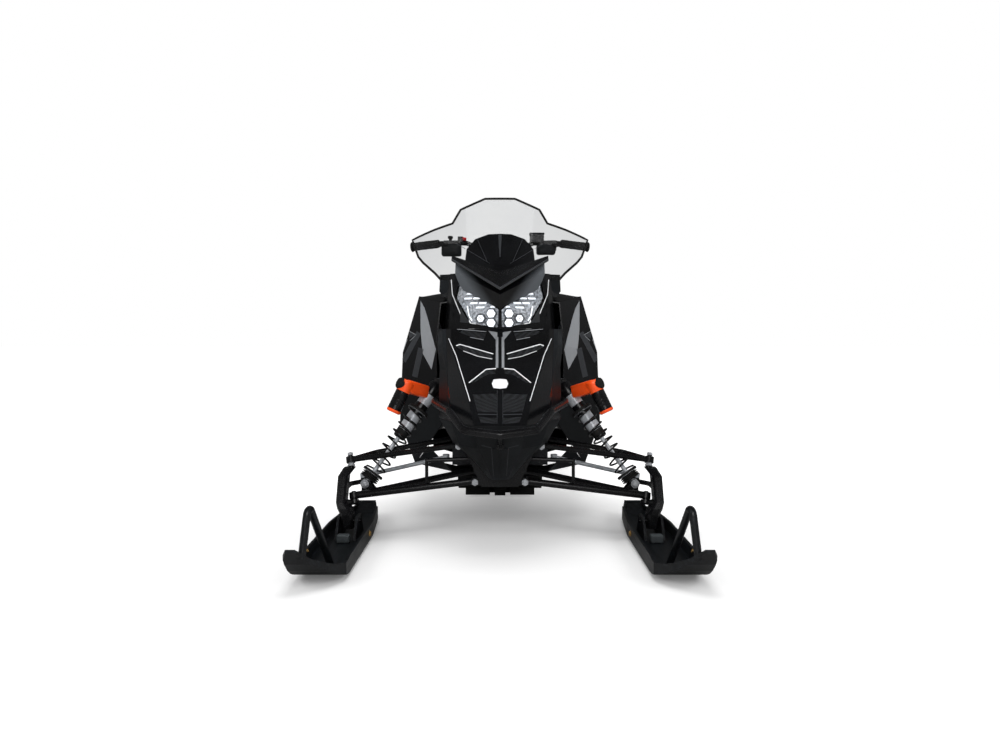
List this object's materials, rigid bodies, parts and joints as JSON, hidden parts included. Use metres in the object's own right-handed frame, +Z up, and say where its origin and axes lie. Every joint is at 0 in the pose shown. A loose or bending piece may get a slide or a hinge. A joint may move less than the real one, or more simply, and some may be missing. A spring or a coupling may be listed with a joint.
{
  "type": "snowmobile",
  "caption": "Snowmobile with twin steered skis, a rubber track under a tunnel, a faceted body, a tall wrap windshield and a bench seat.",
  "frame": {"origin": "middle of the machine on the ground: the centre of the box round it, at its base", "axes": "+Z up, -Y the way the machine travels, +X towards the rider's left hand"},
  "size_m": [1.248, 3.1837, 1.3081],
  "materials": {
    "body_black": "dark glossy moulded panel",
    "matte_black": "grained dark plastic",
    "frame_black": "satin powder coat",
    "tunnel_black": "satin powder coat",
    "bare_alloy": "brushed",
    "shock_alloy": "anodised",
    "spring_black": "powder coat",
    "ski_plastic": "moulded polyethylene",
    "seat_vinyl": "grained vinyl",
    "track_rubber": "moulded rubber",
    "flap_rubber": "sheet rubber",
    "engine_alloy": "cast",
    "smoke_clear": "smoked clear sheet",
    "lamp_clear": "clear lens",
    "tail_red": "red lens"
  },
  "bodies": {
    "chassis": {"belly_pan": "matte_black", "console": "matte_black", "drive_axle": "frame_black", "engine": "engine_alloy", "foot_panel_left": "matte_black", "foot_panel_right": "matte_black", "front_bumper": "frame_black", "front_frame": "frame_black", "front_shocks": "shock_alloy", "front_springs": "spring_black", "head_lamps": "lamp_clear", "hood": "body_black", "lamp_brow": "body_black", "lamp_fairing": "matte_black", "lower_arms": "frame_black", "nose_pan": "matte_black", "rear_arms": "frame_black", "rear_bumper": "frame_black", "rear_shock": "shock_alloy", "rear_wheels": "matte_black", "seat": "seat_vinyl", "seat_base": "matte_black", "shield_base": "matte_black", "shield_mounts": "matte_black", "side_panel_left": "body_black", "side_panel_right": "body_black", "slide_rails": "tunnel_black", "snow_flap": "flap_rubber", "steering_hoop": "frame_black", "sway_bar": "frame_black", "tail_lamp": "tail_red", "track": "track_rubber", "tunnel": "tunnel_black", "upper_arms": "frame_black", "visor": "body_black", "windshield": "smoke_clear"},
    "handlebar": {"handlebar": "frame_black"},
    "spindle_left": {"spindle_left": "frame_black"},
    "spindle_right": {"spindle_right": "frame_black"},
    "ski_left": {"ski_left": "ski_plastic"},
    "ski_right": {"ski_right": "ski_plastic"},
    "tie_rod_left": {"tie_rod_left": "bare_alloy"},
    "tie_rod_right": {"tie_rod_right": "bare_alloy"}
  },
  "joints": [
    {"name": "steering", "type": "hinge", "parent": "chassis", "child": "handlebar", "pos_m": [0, -0.13, 1.1], "axis": [0, 0.454, 0.891], "range_deg": [-35, 35]},
    {"name": "spindle_left_turn", "type": "hinge", "parent": "chassis", "child": "spindle_left", "pos_m": [0.53, -0.95, 0.16], "axis": [0.149, 0.3724, 0.9161], "range_deg": [-30, 30]},
    {"name": "spindle_right_turn", "type": "hinge", "parent": "chassis", "child": "spindle_right", "pos_m": [-0.53, -0.95, 0.16], "axis": [-0.149, 0.3724, 0.9161], "range_deg": [-30, 30]},
    {"name": "tie_rod_left_swing", "type": "hinge", "parent": "spindle_left", "child": "tie_rod_left", "pos_m": [0.52, -0.8, 0.206], "axis": [0.149, 0.3724, 0.9161], "range_deg": [-30, 30]},
    {"name": "tie_rod_right_swing", "type": "hinge", "parent": "spindle_right", "child": "tie_rod_right", "pos_m": [-0.52, -0.8, 0.206], "axis": [-0.149, 0.3724, 0.9161], "range_deg": [-30, 30]},
    {"name": "ski_left_pitch", "type": "hinge", "parent": "spindle_left", "child": "ski_left", "pos_m": [0.544, -0.975, 0.074], "axis": [1, 0, 0], "range_deg": [-10, 10]},
    {"name": "ski_right_pitch", "type": "hinge", "parent": "spindle_right", "child": "ski_right", "pos_m": [-0.544, -0.975, 0.074], "axis": [1, 0, 0], "range_deg": [-10, 10]}
  ],
  "couplings": [
    {"joint": "spindle_left_turn", "follows": "steering", "ratio": 0.84},
    {"joint": "spindle_right_turn", "follows": "steering", "ratio": 0.84},
    {"joint": "tie_rod_left_swing", "follows": "steering", "ratio": -0.84},
    {"joint": "tie_rod_right_swing", "follows": "steering", "ratio": -0.84}
  ]
}
